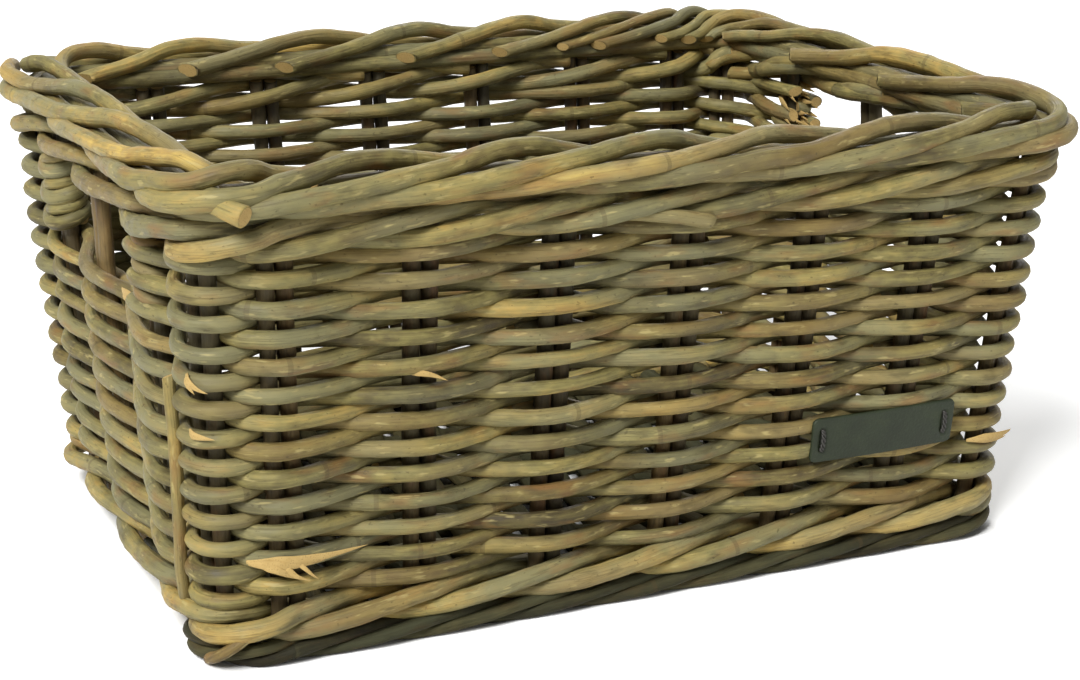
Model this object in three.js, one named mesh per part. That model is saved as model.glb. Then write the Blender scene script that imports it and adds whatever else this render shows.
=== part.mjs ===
import * as THREE from "three";

// Bicycle crate basket woven from round rattan rods.
// Millimetres, +Z up, front wall towards -Y, origin on the ground under the middle.

// Stake frame, the leaning box that the stakes' centre lines lie in
const FRAME_LENGTH_FOOT = 402;
const FRAME_LENGTH_TOP = 420;
const FRAME_WIDTH_FOOT = 270;
const FRAME_WIDTH_TOP = 323;
const FRAME_CORNER_RADIUS = 20;

// Stakes, in pairs: how many a wall has, how far they stay from its ends, how far they sit off its middle
const LONG_WALL_STAKES = 6;
const SHORT_WALL_STAKES = 3;
const LONG_WALL_MARGIN = 47;
const SHORT_WALL_MARGIN = 64;
const FRONT_STAKE_SHIFT = -12;
const BACK_STAKE_SHIFT = 10;
const STAKE_FOOT_HEIGHT = 5;

// Rods
const STAKE_DIAMETER = 8;
const WEAVER_DIAMETER = 6.2;
const BOTTOM_WALE_ROD_DIAMETER = 6;
const TOP_WALE_ROD_DIAMETER = 7.6;
const BORDER_ROD_DIAMETER = 10;
const FOOT_ROD_DIAMETER = 8;
const BASE_STICK_DIAMETER = 5;
const MAT_ROD_DIAMETER = 6;
const CLEARANCE = 0.3;
const ROW_GAP = 0.4;

// Weave: full courses, then courses that turn back at the hand holds
const FULL_ROWS = 19;
const HOLD_ROWS = 6;

// How far a weaver runs straight past a stake's centre line, and the width of its turn at a hand hold,
// as shares of the stake's radius and of the weaver's offset
const WALL_PASS_SHARE = 0.75;
const CORNER_PASS_SHARE = 1.4;
const TURN_SHARE = 0.55;

// Wales: half the climb of a rod from one stake to the next, and how much higher it lies inside the wall
const BOTTOM_WALE_HALF_RISE = 3.8;
const TOP_WALE_HALF_RISE = 5.4;
const WALE_INSIDE_LIFT = 2;
const WALE_STRANDS = 3;

// Border: a three-strand roll, wider than high, hung outwards from the stake frame and seated on the stakes
const BORDER_STRANDS = 3;
const BORDER_FLATNESS = 1.35;
const BORDER_OFFSET = 6.6;
const BORDER_SEAT = 0.9;
const BORDER_STATIONS_PER_TURN = 6;

// Floor: sticks along it, and one rod woven to and fro across them
const BASE_STICKS = 5;
const BASE_STICK_MARGIN = 26;
const BASE_STICK_INSET = 5;
const MAT_PASSES = 45;
const MAT_MARGIN = 16;
const MAT_PASS_SHARE = 1.4;

// Label
const LABEL_LENGTH = 82;
const LABEL_HEIGHT = 24;
const LABEL_THICKNESS = 2;
const LABEL_CORNER_RADIUS = 4;
const LABEL_X = 128;
const LABEL_Z = 70;
const TIE_DIAMETER = 1.4;
const TIE_HOLE_PITCH = 8;
const TIE_END_MARGIN = 6;
const TIE_TAIL = 2;

// Heights that follow from the rods, from the ground up
const stakeRadius = STAKE_DIAMETER / 2;
const weaverRadius = WEAVER_DIAMETER / 2;
const bottomWaleRadius = BOTTOM_WALE_ROD_DIAMETER / 2;
const topWaleRadius = TOP_WALE_ROD_DIAMETER / 2;
const borderRadius = BORDER_ROD_DIAMETER / 2;
const stickRadius = BASE_STICK_DIAMETER / 2;
const matRadius = MAT_ROD_DIAMETER / 2;
const stickZ = FOOT_ROD_DIAMETER + CLEARANCE + stickRadius;
const rowPitch = WEAVER_DIAMETER + ROW_GAP;
const waleBelow = BOTTOM_WALE_HALF_RISE - WALE_INSIDE_LIFT + bottomWaleRadius;
const waleAbove = BOTTOM_WALE_HALF_RISE + WALE_INSIDE_LIFT + bottomWaleRadius;
const bottomWaleZ = stickZ + stickRadius + CLEARANCE + waleBelow;
const firstRowZ = bottomWaleZ + waleAbove + CLEARANCE + weaverRadius;
const lastRowZ = firstRowZ + (FULL_ROWS + HOLD_ROWS - 1) * rowPitch;
const topWaleZ = lastRowZ + weaverRadius + CLEARANCE + topWaleRadius + TOP_WALE_HALF_RISE;
const strandSpread = 2 * Math.sin(Math.PI / BORDER_STRANDS) * Math.cos(Math.PI / BORDER_STATIONS_PER_TURN);
const borderHalfRise = (BORDER_ROD_DIAMETER + CLEARANCE) / strandSpread;
const borderHalfReach = borderHalfRise * BORDER_FLATNESS;
const stakeTop = topWaleZ + TOP_WALE_HALF_RISE + topWaleRadius + WALE_INSIDE_LIFT / 2;
const borderZ = stakeTop + CLEARANCE - BORDER_SEAT + borderRadius + borderHalfRise;

// Where a rod's centre line passes a stake pair, measured from the stake frame, and the pair's half sizes
const weaverOffset = stakeRadius + weaverRadius + CLEARANCE;
const waleOffset = (rodRadius) => stakeRadius + rodRadius + CLEARANCE;
const legOffset = stakeRadius + CLEARANCE / 2;
const wallPassHalf = legOffset + stakeRadius * WALL_PASS_SHARE;
const cornerPassHalf = legOffset + stakeRadius * CORNER_PASS_SHARE;
const footOffset = stakeRadius + FOOT_ROD_DIAMETER / 2 + CLEARANCE;
const matOffset = stickRadius + matRadius + CLEARANCE;

const UP = new THREE.Vector3(0, 0, 1);
const lerp = THREE.MathUtils.lerp;
const halfLength = (z) => lerp(FRAME_LENGTH_FOOT, FRAME_LENGTH_TOP, z / stakeTop) / 2;
const halfWidth = (z) => lerp(FRAME_WIDTH_FOOT, FRAME_WIDTH_TOP, z / stakeTop) / 2;

const COLOURS = {
  stake: 0x5b5040,
  weaver: 0x8b8068,
  straw: 0xa9956a,
  wale: 0xb09a68,
  border: 0x82775f,
  base: 0x746a54,
  leather: 0x3b3e39,
  thread: 0x1d1b19,
};

const basket = new THREE.Group();

function addPart(name, geometry, colour, roughness = 0.7, parent = basket) {
  const material = new THREE.MeshStandardMaterial({ color: colour, roughness, metalness: 0 });
  const mesh = new THREE.Mesh(geometry, material);
  mesh.name = name;
  parent.add(mesh);
  return mesh;
}

// Outline of a rod's section: a regular polygon inside the rod's circle, or around it with a flat side down
function rodSection(diameter, sides, flatDown = false) {
  const phase = flatDown ? 0.5 : 0;
  const radius = flatDown ? diameter / 2 / Math.cos(Math.PI / sides) : diameter / 2;
  return Array.from({ length: sides }, (_, side) => {
    const angle = (2 * Math.PI * (side + phase)) / sides;
    return new THREE.Vector2(radius * Math.cos(angle), radius * Math.sin(angle));
  });
}

// Direction of travel at a point of a route, halfway between the stretches that meet there
function headingAt(route, index, closed) {
  const count = route.length;
  const here = route[index];
  const heading = new THREE.Vector3();
  if (closed || index > 0) {
    heading.add(here.clone().sub(route[(index + count - 1) % count]).normalize());
  }
  if (closed || index < count - 1) {
    heading.add(route[(index + 1) % count].clone().sub(here).normalize());
  }
  return heading.normalize();
}

// Closed solid of a section carried along a route, kept upright by the reference direction
function rodGeometry(route, section, reference, closed) {
  const sides = section.length;
  const positions = [];
  route.forEach((point, index) => {
    const heading = headingAt(route, index, closed);
    const across = new THREE.Vector3().crossVectors(reference, heading).normalize();
    const above = new THREE.Vector3().crossVectors(heading, across);
    section.forEach((corner) => {
      const vertex = point.clone().addScaledVector(across, corner.x).addScaledVector(above, corner.y);
      positions.push(vertex.x, vertex.y, vertex.z);
    });
  });
  const triangles = [];
  const stretches = closed ? route.length : route.length - 1;
  for (let stretch = 0; stretch < stretches; stretch += 1) {
    const near = stretch * sides;
    const far = ((stretch + 1) % route.length) * sides;
    for (let side = 0; side < sides; side += 1) {
      const next = (side + 1) % sides;
      triangles.push(near + side, near + next, far + next, near + side, far + next, far + side);
    }
  }
  if (!closed) {
    const last = (route.length - 1) * sides;
    for (let side = 1; side < sides - 1; side += 1) {
      triangles.push(0, side + 1, side, last, last + side, last + side + 1);
    }
  }
  const geometry = new THREE.BufferGeometry();
  geometry.setAttribute("position", new THREE.Float32BufferAttribute(positions, 3));
  geometry.setIndex(triangles);
  return geometry;
}

// Rectangle with round corners, counterclockwise from the lower left
function roundedRectangle(halfX, halfY, radius) {
  const x = halfX - radius;
  const y = halfY - radius;
  const outline = new THREE.Shape();
  outline.moveTo(-x, -halfY);
  outline.lineTo(x, -halfY);
  outline.absarc(x, -y, radius, -Math.PI / 2, 0);
  outline.lineTo(halfX, y);
  outline.absarc(x, y, radius, 0, Math.PI / 2);
  outline.lineTo(-x, halfY);
  outline.absarc(-x, y, radius, Math.PI / 2, Math.PI);
  outline.lineTo(-halfX, -y);
  outline.absarc(-x, -y, radius, Math.PI, 1.5 * Math.PI);
  return outline;
}

// Stake frame's outline at a height, moved outwards by an offset
function frameOutline(z, offset) {
  return roundedRectangle(halfLength(z) + offset, halfWidth(z) + offset, FRAME_CORNER_RADIUS + offset);
}

// Stake places, counterclockwise from the front left: each wall's stakes, then the corner at its end
function stakePlaces() {
  const long = {
    count: LONG_WALL_STAKES,
    margin: LONG_WALL_MARGIN,
    halfAlong: halfLength,
    halfOut: halfWidth,
  };
  const short = {
    count: SHORT_WALL_STAKES,
    margin: SHORT_WALL_MARGIN,
    halfAlong: halfWidth,
    halfOut: halfLength,
  };
  const walls = [
    { ...long, name: "front", along: [1, 0, 0], out: [0, -1, 0], shift: FRONT_STAKE_SHIFT },
    { ...short, name: "right", along: [0, 1, 0], out: [1, 0, 0], shift: 0 },
    { ...long, name: "back", along: [-1, 0, 0], out: [0, 1, 0], shift: -BACK_STAKE_SHIFT },
    { ...short, name: "left", along: [0, -1, 0], out: [-1, 0, 0], shift: 0 },
  ];
  const cornerCut = FRAME_CORNER_RADIUS * (1 - Math.SQRT1_2);
  return walls.flatMap((wall) => {
    const { halfAlong, halfOut } = wall;
    const along = new THREE.Vector3(...wall.along);
    const out = new THREE.Vector3(...wall.out);
    const middle = halfAlong(stakeTop / 2);
    const pitch = (2 * (middle - wall.margin)) / (wall.count - 1);
    const stakes = Array.from({ length: wall.count }, (_, index) => {
      const share = ((index - (wall.count - 1) / 2) * pitch + wall.shift) / middle;
      return {
        name: `${wall.name}_${index + 1}`,
        passHalf: wallPassHalf,
        tangent: along,
        normal: out,
        at: (z) => new THREE.Vector3(0, 0, z)
          .addScaledVector(along, share * halfAlong(z))
          .addScaledVector(out, halfOut(z)),
      };
    });
    stakes.push({
      name: `${wall.name}_corner`,
      passHalf: cornerPassHalf,
      tangent: along.clone().sub(out).normalize(),
      normal: along.clone().add(out).normalize(),
      at: (z) => new THREE.Vector3(0, 0, z)
        .addScaledVector(along, halfAlong(z) - cornerCut)
        .addScaledVector(out, halfOut(z) - cornerCut),
    });
    return stakes;
  });
}

// Point beside a stake pair: so far along the wall, so far out of it
function besideStake(stake, z, along, out) {
  return stake.at(z).addScaledVector(stake.tangent, along).addScaledVector(stake.normal, out);
}

// One stake pair: a rod bent double at the foot
function stakeRoute(stake) {
  const bendSteps = 4;
  const bendZ = STAKE_FOOT_HEIGHT + stakeRadius + legOffset;
  const bend = Array.from({ length: bendSteps + 1 }, (_, step) => {
    const angle = Math.PI + (Math.PI * step) / bendSteps;
    const along = legOffset * Math.cos(angle);
    return besideStake(stake, bendZ + legOffset * Math.sin(angle), along, 0);
  });
  return [besideStake(stake, stakeTop, -legOffset, 0), ...bend, besideStake(stake, stakeTop, legOffset, 0)];
}

const rowHeight = (row) => firstRowZ + row * rowPitch;
const weaverSide = (index, row) => ((index + row) % 2 === 1 ? 1 : -1);

// A course of plain weave past one stake: outside the wall or inside it, by turns
function weaverPass(stake, index, row) {
  const side = weaverSide(index, row);
  const z = rowHeight(row);
  return [-stake.passHalf, stake.passHalf].map((along) => besideStake(stake, z, along, side * weaverOffset));
}

// Weaver of the courses beside the hand holds: it runs to and fro and turns back round the edge stakes
function holdWeaverRoute(stakes, first, last) {
  const turnReach = legOffset + stakeRadius + weaverRadius + CLEARANCE;
  const turnHalf = weaverOffset * TURN_SHARE;
  const route = [];
  for (let course = 0; course < HOLD_ROWS; course += 1) {
    const row = FULL_ROWS + course;
    const passes = [];
    for (let index = first; index <= last; index += 1) {
      passes.push(...weaverPass(stakes[index % stakes.length], index, row));
    }
    const forward = course % 2 === 0;
    route.push(...(forward ? passes : passes.reverse()));
    if (course < HOLD_ROWS - 1) {
      const edgeIndex = forward ? last : first;
      const edge = stakes[edgeIndex % stakes.length];
      const along = forward ? turnReach : -turnReach;
      const out = weaverSide(edgeIndex, row) * turnHalf;
      route.push(besideStake(edge, lerp(rowHeight(row), rowHeight(row + 1), 1 / 3), along, out));
      route.push(besideStake(edge, lerp(rowHeight(row), rowHeight(row + 1), 2 / 3), along, -out));
    }
  }
  return route;
}

// A round of waling: one rod that goes round once for each strand, low outside, high outside, then inside
function waleRoute(stakes, z, halfRise, rodRadius) {
  const route = [];
  const low = z - halfRise;
  const high = z + halfRise;
  const out = waleOffset(rodRadius);
  for (let pass = 0; pass < stakes.length * WALE_STRANDS; pass += 1) {
    const stake = stakes[pass % stakes.length];
    const turn = pass % WALE_STRANDS;
    if (turn === WALE_STRANDS - 1) {
      route.push(besideStake(stake, high + WALE_INSIDE_LIFT, -stake.passHalf, -out));
      route.push(besideStake(stake, low + WALE_INSIDE_LIFT, stake.passHalf, -out));
    } else {
      const height = turn === 0 ? low : high;
      route.push(besideStake(stake, height, -stake.passHalf, out));
      route.push(besideStake(stake, height, stake.passHalf, out));
    }
  }
  return route;
}

// Rolled border: one rod that goes round once for each strand and winds round the border's own centre line
function borderRoute(turns) {
  const outline = frameOutline(borderZ, BORDER_OFFSET);
  const stations = turns * BORDER_STATIONS_PER_TURN;
  return Array.from({ length: stations }, (_, station) => {
    const share = ((station * BORDER_STRANDS) / stations) % 1;
    const angle = (2 * Math.PI * station) / BORDER_STATIONS_PER_TURN;
    const place = outline.getPoint(share);
    const heading = outline.getTangent(share);
    const out = borderHalfReach * Math.cos(angle);
    const rise = borderHalfRise * Math.sin(angle);
    return new THREE.Vector3(place.x + out * heading.y, place.y - out * heading.x, borderZ + rise);
  });
}

const stakes = stakePlaces();
const stakeSection = rodSection(STAKE_DIAMETER, 6);
const weaverSection = rodSection(WEAVER_DIAMETER, 4);
const bottomWaleSection = rodSection(BOTTOM_WALE_ROD_DIAMETER, 4);
const topWaleSection = rodSection(TOP_WALE_ROD_DIAMETER, 4);

// Foot hoop round the stakes' feet, with a flat underside to stand on
const hoopRoute = frameOutline(0, footOffset).getPoints(3)
  .slice(0, -1)
  .map((point) => new THREE.Vector3(point.x, point.y, FOOT_ROD_DIAMETER / 2));
const hoopSection = rodSection(FOOT_ROD_DIAMETER, 8, true);
addPart("foot_hoop", rodGeometry(hoopRoute, hoopSection, UP, true), COLOURS.base);

// Base sticks and the mat woven over and under them
const stickLength = 2 * (halfLength(stickZ) - BASE_STICK_INSET);
const stickPitch = (2 * (halfWidth(stickZ) - BASE_STICK_MARGIN)) / (BASE_STICKS - 1);
const stickPlace = (stick) => (stick - (BASE_STICKS - 1) / 2) * stickPitch;
for (let stick = 0; stick < BASE_STICKS; stick += 1) {
  const geometry = new THREE.CylinderGeometry(stickRadius, stickRadius, stickLength, 8);
  const mesh = addPart(`base_stick_${stick + 1}`, geometry, COLOURS.base);
  mesh.rotation.z = Math.PI / 2;
  mesh.position.set(0, stickPlace(stick), stickZ);
}

// Route of the mat's rod: over one stick and under the next, then round the last one and back
function matRoute() {
  const halfRun = halfLength(stickZ) - MAT_MARGIN;
  const pitch = (2 * halfRun) / (MAT_PASSES - 1);
  const passHalf = stickRadius * MAT_PASS_SHARE;
  const turnY = stickPlace(BASE_STICKS - 1) + 2 * stickRadius + matRadius + CLEARANCE;
  const route = [];
  for (let pass = 0; pass < MAT_PASSES; pass += 1) {
    const x = pass * pitch - halfRun;
    const way = pass % 2 === 0 ? 1 : -1;
    for (let stick = 0; stick < BASE_STICKS; stick += 1) {
      const z = stickZ + ((pass + stick) % 2 === 0 ? matOffset : -matOffset);
      const y = stickPlace(stick);
      route.push(new THREE.Vector3(x, way * (y - passHalf), z));
      route.push(new THREE.Vector3(x, way * (y + passHalf), z));
    }
    if (pass < MAT_PASSES - 1) {
      route.push(new THREE.Vector3(x + pitch / 2, way * turnY, stickZ));
    }
  }
  return route;
}
const matSection = rodSection(MAT_ROD_DIAMETER, 4);
addPart("base_mat", rodGeometry(matRoute(), matSection, new THREE.Vector3(1, 0, 0), false), COLOURS.base);

// Stakes
stakes.forEach((stake) => {
  const geometry = rodGeometry(stakeRoute(stake), stakeSection, stake.normal, false);
  addPart(`stake_pair_${stake.name}`, geometry, COLOURS.stake);
});

// Wales and weave
const bottomWaleRoute = waleRoute(stakes, bottomWaleZ, BOTTOM_WALE_HALF_RISE, bottomWaleRadius);
addPart("bottom_wale", rodGeometry(bottomWaleRoute, bottomWaleSection, UP, true), COLOURS.wale);
for (let row = 0; row < FULL_ROWS; row += 1) {
  const route = stakes.flatMap((stake, index) => weaverPass(stake, index, row));
  const colour = row % 3 === 0 ? COLOURS.straw : COLOURS.weaver;
  const name = `weaver_row_${String(row + 1).padStart(2, "0")}`;
  addPart(name, rodGeometry(route, weaverSection, UP, true), colour);
}
const frontFirst = stakes.findIndex((stake) => stake.name === `left_${SHORT_WALL_STAKES}`);
const frontLast = stakes.findIndex((stake) => stake.name === "right_1") + stakes.length;
const backFirst = stakes.findIndex((stake) => stake.name === `right_${SHORT_WALL_STAKES}`);
const backLast = stakes.findIndex((stake) => stake.name === "left_1");
const frontRoute = holdWeaverRoute(stakes, frontFirst, frontLast);
const backRoute = holdWeaverRoute(stakes, backFirst, backLast);
addPart("hold_weaver_front", rodGeometry(frontRoute, weaverSection, UP, false), COLOURS.weaver);
addPart("hold_weaver_back", rodGeometry(backRoute, weaverSection, UP, false), COLOURS.weaver);
const topWaleRoute = waleRoute(stakes, topWaleZ, TOP_WALE_HALF_RISE, topWaleRadius);
addPart("top_wale", rodGeometry(topWaleRoute, topWaleSection, UP, true), COLOURS.border);
const borderSection = rodSection(BORDER_ROD_DIAMETER, 5);
addPart("rolled_border", rodGeometry(borderRoute(stakes.length), borderSection, UP, true), COLOURS.border);

// Label on the crest of the front weave, leaning with the wall, and its two ties
const frontLean = Math.atan((FRAME_WIDTH_TOP - FRAME_WIDTH_FOOT) / 2 / stakeTop);
const labelStand = (weaverOffset + weaverRadius + CLEARANCE) / Math.cos(frontLean);
const label = new THREE.Group();
label.position.set(LABEL_X, -(halfWidth(LABEL_Z) + labelStand), LABEL_Z);
label.rotation.x = Math.PI / 2 + frontLean;
basket.add(label);

const tieX = LABEL_LENGTH / 2 - TIE_END_MARGIN;
const tieHalf = TIE_HOLE_PITCH / 2;
const labelShape = roundedRectangle(LABEL_LENGTH / 2, LABEL_HEIGHT / 2, LABEL_CORNER_RADIUS);
[-tieX, tieX].forEach((x) => {
  [-tieHalf, tieHalf].forEach((y) => {
    labelShape.holes.push(new THREE.Path().absarc(x, y, TIE_DIAMETER / 2 + CLEARANCE, 0, 2 * Math.PI, true));
  });
});
const labelGeometry = new THREE.ExtrudeGeometry(labelShape, {
  depth: LABEL_THICKNESS,
  bevelEnabled: false,
  curveSegments: 4,
});
addPart("label_panel", labelGeometry, COLOURS.leather, 0.6, label);

// Tie: a stitch over the label's face, with its two ends through the holes
[["left", -tieX], ["right", tieX]].forEach(([side, x]) => {
  const faceZ = LABEL_THICKNESS + CLEARANCE + TIE_DIAMETER / 2;
  const route = [
    new THREE.Vector3(x, -tieHalf, -TIE_TAIL),
    new THREE.Vector3(x, -tieHalf, faceZ),
    new THREE.Vector3(x, tieHalf, faceZ),
    new THREE.Vector3(x, tieHalf, -TIE_TAIL),
  ];
  const section = rodSection(TIE_DIAMETER, 6);
  const geometry = rodGeometry(route, section, new THREE.Vector3(1, 0, 0), false);
  addPart(`label_tie_${side}`, geometry, COLOURS.thread, 0.8, label);
});

export default basket;
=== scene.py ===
"""Bicycle crate basket of round rattan: the visual pieces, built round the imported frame.

Shapes are worked out in millimetres and put into the meshes in metres. A place on the basket's wall is
given by its post number, which counts the stake pairs counterclockwise from the front left, by how far it
lies out of the stake frame, and by its height.
"""
import math

import bpy
import numpy as np
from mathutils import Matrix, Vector


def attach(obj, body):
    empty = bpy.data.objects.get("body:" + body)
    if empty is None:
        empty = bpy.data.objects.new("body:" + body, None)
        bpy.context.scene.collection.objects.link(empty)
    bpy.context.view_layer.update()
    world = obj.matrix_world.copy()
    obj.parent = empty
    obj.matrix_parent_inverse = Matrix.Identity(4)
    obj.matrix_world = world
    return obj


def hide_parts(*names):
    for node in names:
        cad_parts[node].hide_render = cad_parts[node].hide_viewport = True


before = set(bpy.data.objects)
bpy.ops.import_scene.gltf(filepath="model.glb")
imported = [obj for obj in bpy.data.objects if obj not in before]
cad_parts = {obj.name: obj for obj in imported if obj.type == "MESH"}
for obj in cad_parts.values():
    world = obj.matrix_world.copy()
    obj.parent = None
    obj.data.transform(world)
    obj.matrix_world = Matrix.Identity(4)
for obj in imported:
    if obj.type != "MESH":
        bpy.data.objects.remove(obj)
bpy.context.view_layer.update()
MM = 0.001


def add_object(name, data):
    """A new object of the given data, put into the scene."""
    thing = bpy.data.objects.new(name, data)
    bpy.context.scene.collection.objects.link(thing)
    return thing


# Camera at the photograph's viewing angle
CAMERA_AZIMUTH, CAMERA_ELEVATION = math.radians(-23.98), math.radians(16.88)
CAMERA_DISTANCE = 1.113
CAMERA_TARGET = Vector((0.0126, 0.0, 0.0877))
CAMERA_LENS, CAMERA_SENSOR = 69.6, 36.0

camera_back = Vector((
    math.sin(CAMERA_AZIMUTH) * math.cos(CAMERA_ELEVATION),
    -math.cos(CAMERA_AZIMUTH) * math.cos(CAMERA_ELEVATION),
    math.sin(CAMERA_ELEVATION),
))
camera = add_object("camera", bpy.data.cameras.new("camera"))
camera.data.sensor_width = CAMERA_SENSOR
camera.data.lens = CAMERA_LENS
camera.location = CAMERA_TARGET + camera_back * CAMERA_DISTANCE
camera.rotation_mode = "QUATERNION"
camera.rotation_quaternion = (-camera_back).to_track_quat("-Z", "Y")
bpy.context.scene.camera = camera

# Stake frame, as in the part: the leaning box that the stakes' centre lines lie in
FRAME_LENGTH_FOOT, FRAME_LENGTH_TOP = 402.0, 420.0
FRAME_WIDTH_FOOT, FRAME_WIDTH_TOP = 270.0, 323.0
FRAME_TOP = 211.8
CORNER_RADIUS = 20.0
RIM_CORNER_RADIUS = 22.0
# Posts: how many, and how they stand on the long walls, on the short ones and at the last corner
POSTS, LONG_WALL_POSTS = 22, 6
FRONT_PITCH, BACK_PITCH, SIDE_PITCH = 64.0, 63.4, 84.25
FRONT_SHIFT, BACK_SHIFT, LAST_CORNER_SHIFT = -16.0, -10.0, -8.0
RIGHT_POSTS, LEFT_POSTS = (-84, -1, 78), (-90, -12, 84)
# Corners pushed out, the stretch of rim that has sunk, and the bulged side walls: post, spread and reaches
PUSHED_HEIGHTS = (0, 60, 150, 190, 215, 235)
PUSHED_CORNERS = ((17, 0.8, (3, 6, 10, 9, 4, 0)), (6, 0.7, (0, 0, 0, 1, 3, 3)))
SUNK_POST, SUNK_SPREAD, SUNK_REACH = 4.4, 2.1, (0, 0, 0, 2.5, 5, 6)
BULGE_POSTS, BULGE_SPREAD, BULGE_REACH = (8, 19), 2, (0, 4, 6, 5, 2, 1)

# Rods
STAKE_DIAMETER, LEG_OFFSET = 8.0, 4.15
STAKE_FOOT, STAKE_TOP = 5.0, 209.0
ROW_DIAMETER, ROW_PITCH, FIRST_ROW = 7.8, 6.6, 30.6
FULL_ROWS, HOLD_ROWS = 19, 6
BOTTOM_WALE_Z, TOP_WALE_Z, WALE_DIAMETER = 19.0, 200.8, 8.8
RIM_DIAMETER = 8.8
ROD_SIDES, ROD_STEP, FEWEST_RINGS, POST_STEP = 12, 3.0, 5, 0.008
# How uneven a rod is: shares of its radius, and lengths in millimetres
JOINT_NUMBERS, JOINT_SPACING, JOINT_FIRST, JOINT_SCATTER = np.arange(-1, 10), 310.0, 20, 60
JOINT_SWELL, JOINT_SPREAD = 0.055, 3.2
WAVE_SHARE, WAVE_PERIODS = 0.07, (19, 43, 97)
OVAL_SHARE, TRIANGLE_SHARE, OVAL_START, OVAL_TURN = 0.035, 0.018, 6, 150
END_SHARE, END_BEVEL, END_CROWN = 0.86, 0.08, 0.10
TINT_SWING, TINT_PERIODS, PLACE_SPREAD = 0.10, (60, 150, 330), 4000


def frame_half_sizes(z):
    """Half length and half width of the stake frame at a height: straight lines from foot to top."""
    share = np.asarray(z, float) / FRAME_TOP
    half_x = (FRAME_LENGTH_FOOT + (FRAME_LENGTH_TOP - FRAME_LENGTH_FOOT) * share) / 2
    half_y = (FRAME_WIDTH_FOOT + (FRAME_WIDTH_TOP - FRAME_WIDTH_FOOT) * share) / 2
    return half_x, half_y


def walk_table(corner_radius):
    """Distances round the frame's outline at mid height: where its walls and corners begin, and where
    each post is. The outline is a rectangle with round corners; a corner post stands in the middle of its
    corner, but for the last, which stands a little before it."""
    half_x, half_y = (float(h) - corner_radius for h in frame_half_sizes(FRAME_TOP / 2))
    turn = corner_radius * math.pi / 2
    breaks = np.cumsum([0] + 2 * [2 * half_x, turn, 2 * half_y, turn])
    long_steps = np.arange(LONG_WALL_POSTS) - (LONG_WALL_POSTS - 1) / 2
    walls = (
        (half_x, long_steps * FRONT_PITCH + FRONT_SHIFT, 0),
        (half_y, np.array(RIGHT_POSTS), 0),
        (half_x, long_steps * BACK_PITCH + BACK_SHIFT, 0),
        (half_y, np.array(LEFT_POSTS), LAST_CORNER_SHIFT),
    )
    posts = []
    for wall, (half, places, corner_shift) in enumerate(walls):
        posts.extend(breaks[2 * wall] + half + places)
        posts.append(breaks[2 * wall + 1] + turn / 2 + corner_shift)
    return breaks, np.array([*posts, posts[0] + breaks[-1]])


WALK_TABLES = {radius: walk_table(radius) for radius in (CORNER_RADIUS, RIM_CORNER_RADIUS)}
WALL_SIDE_X = [-1, 1, 1, 1, 1, -1, -1, -1, -1]
WALL_SIDE_Y = [-1, -1, -1, 1, 1, 1, 1, -1, -1]
WALL_ANGLE = np.radians([-90, -90, 0, 0, 90, 90, 180, 180, 270])


def posts_away(post, middle):
    """Number of posts from a middle post, the shorter way round."""
    return (post - middle + POSTS / 2) % POSTS - POSTS / 2


def bell(post, middle, spread):
    """Bell curve round a post: the exponential of minus the square of the posts away over the spread."""
    return np.exp(-(posts_away(post, middle) / spread) ** 2)


def wall_point(post, out, z, corner_radius=CORNER_RADIUS):
    """Points beside the wall. The post number gives a distance round the outline, that gives a place on
    the box of the corners' centres and an outward angle, and the point lies the corner radius plus out
    from there. Bells push two corners out and let the rim sink, and the side walls bulge in a
    parabola."""
    breaks, posts = WALK_TABLES[corner_radius]
    post, z = np.asarray(post, float), np.asarray(z, float)
    pushed = 0
    for at, spread, reach in PUSHED_CORNERS:
        pushed = pushed + bell(post, at, spread) * np.interp(z, PUSHED_HEIGHTS, reach)
    for middle in BULGE_POSTS:
        parabola = np.clip(1 - (posts_away(post, middle) / BULGE_SPREAD) ** 2, 0, 1)
        pushed = pushed + parabola * np.interp(z, PUSHED_HEIGHTS, BULGE_REACH)
    out = np.asarray(out, float) + pushed
    z = z - bell(post, SUNK_POST, SUNK_SPREAD) * np.interp(z, PUSHED_HEIGHTS, SUNK_REACH)
    walked = np.interp(post % POSTS, np.arange(POSTS + 1), posts) % breaks[-1]
    angle = np.interp(walked, breaks, WALL_ANGLE)
    half_x, half_y = frame_half_sizes(z)
    reach = corner_radius + out
    x = np.interp(walked, breaks, WALL_SIDE_X) * (half_x - corner_radius) + reach * np.cos(angle)
    y = np.interp(walked, breaks, WALL_SIDE_Y) * (half_y - corner_radius) + reach * np.sin(angle)
    return np.stack(np.broadcast_arrays(x, y, z), axis=-1)


def along_wall(post, z):
    """Unit vectors along the wall: from just before a post to just after it, over their length."""
    ahead = wall_point(post + 0.02, 0, z) - wall_point(post - 0.02, 0, z)
    return ahead / np.linalg.norm(ahead, axis=1, keepdims=True)


def smooth_step(low, high, value):
    """0 below low, 1 above high, and an S curve of the third degree between them."""
    t = np.clip((value - low) / (high - low), 0, 1)
    return t * t * (3 - 2 * t)


def through(knots, values, at):
    """Smooth curve through control values: a cubic piece between knots, with the knots' mean slopes."""
    knots, values, at = (np.asarray(a, float) for a in (knots, values, at))
    slopes = np.gradient(values, knots, axis=0)
    piece = np.clip(np.searchsorted(knots, at) - 1, 0, len(knots) - 2)
    width = (knots[piece + 1] - knots[piece])[:, None]
    t = (at - knots[piece])[:, None] / width
    return ((2 * t**3 - 3 * t**2 + 1) * values[piece] + (t**3 - 2 * t**2 + t) * width * slopes[piece]
            + (3 * t**2 - 2 * t**3) * values[piece + 1] + (t**3 - t**2) * width * slopes[piece + 1])


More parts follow.
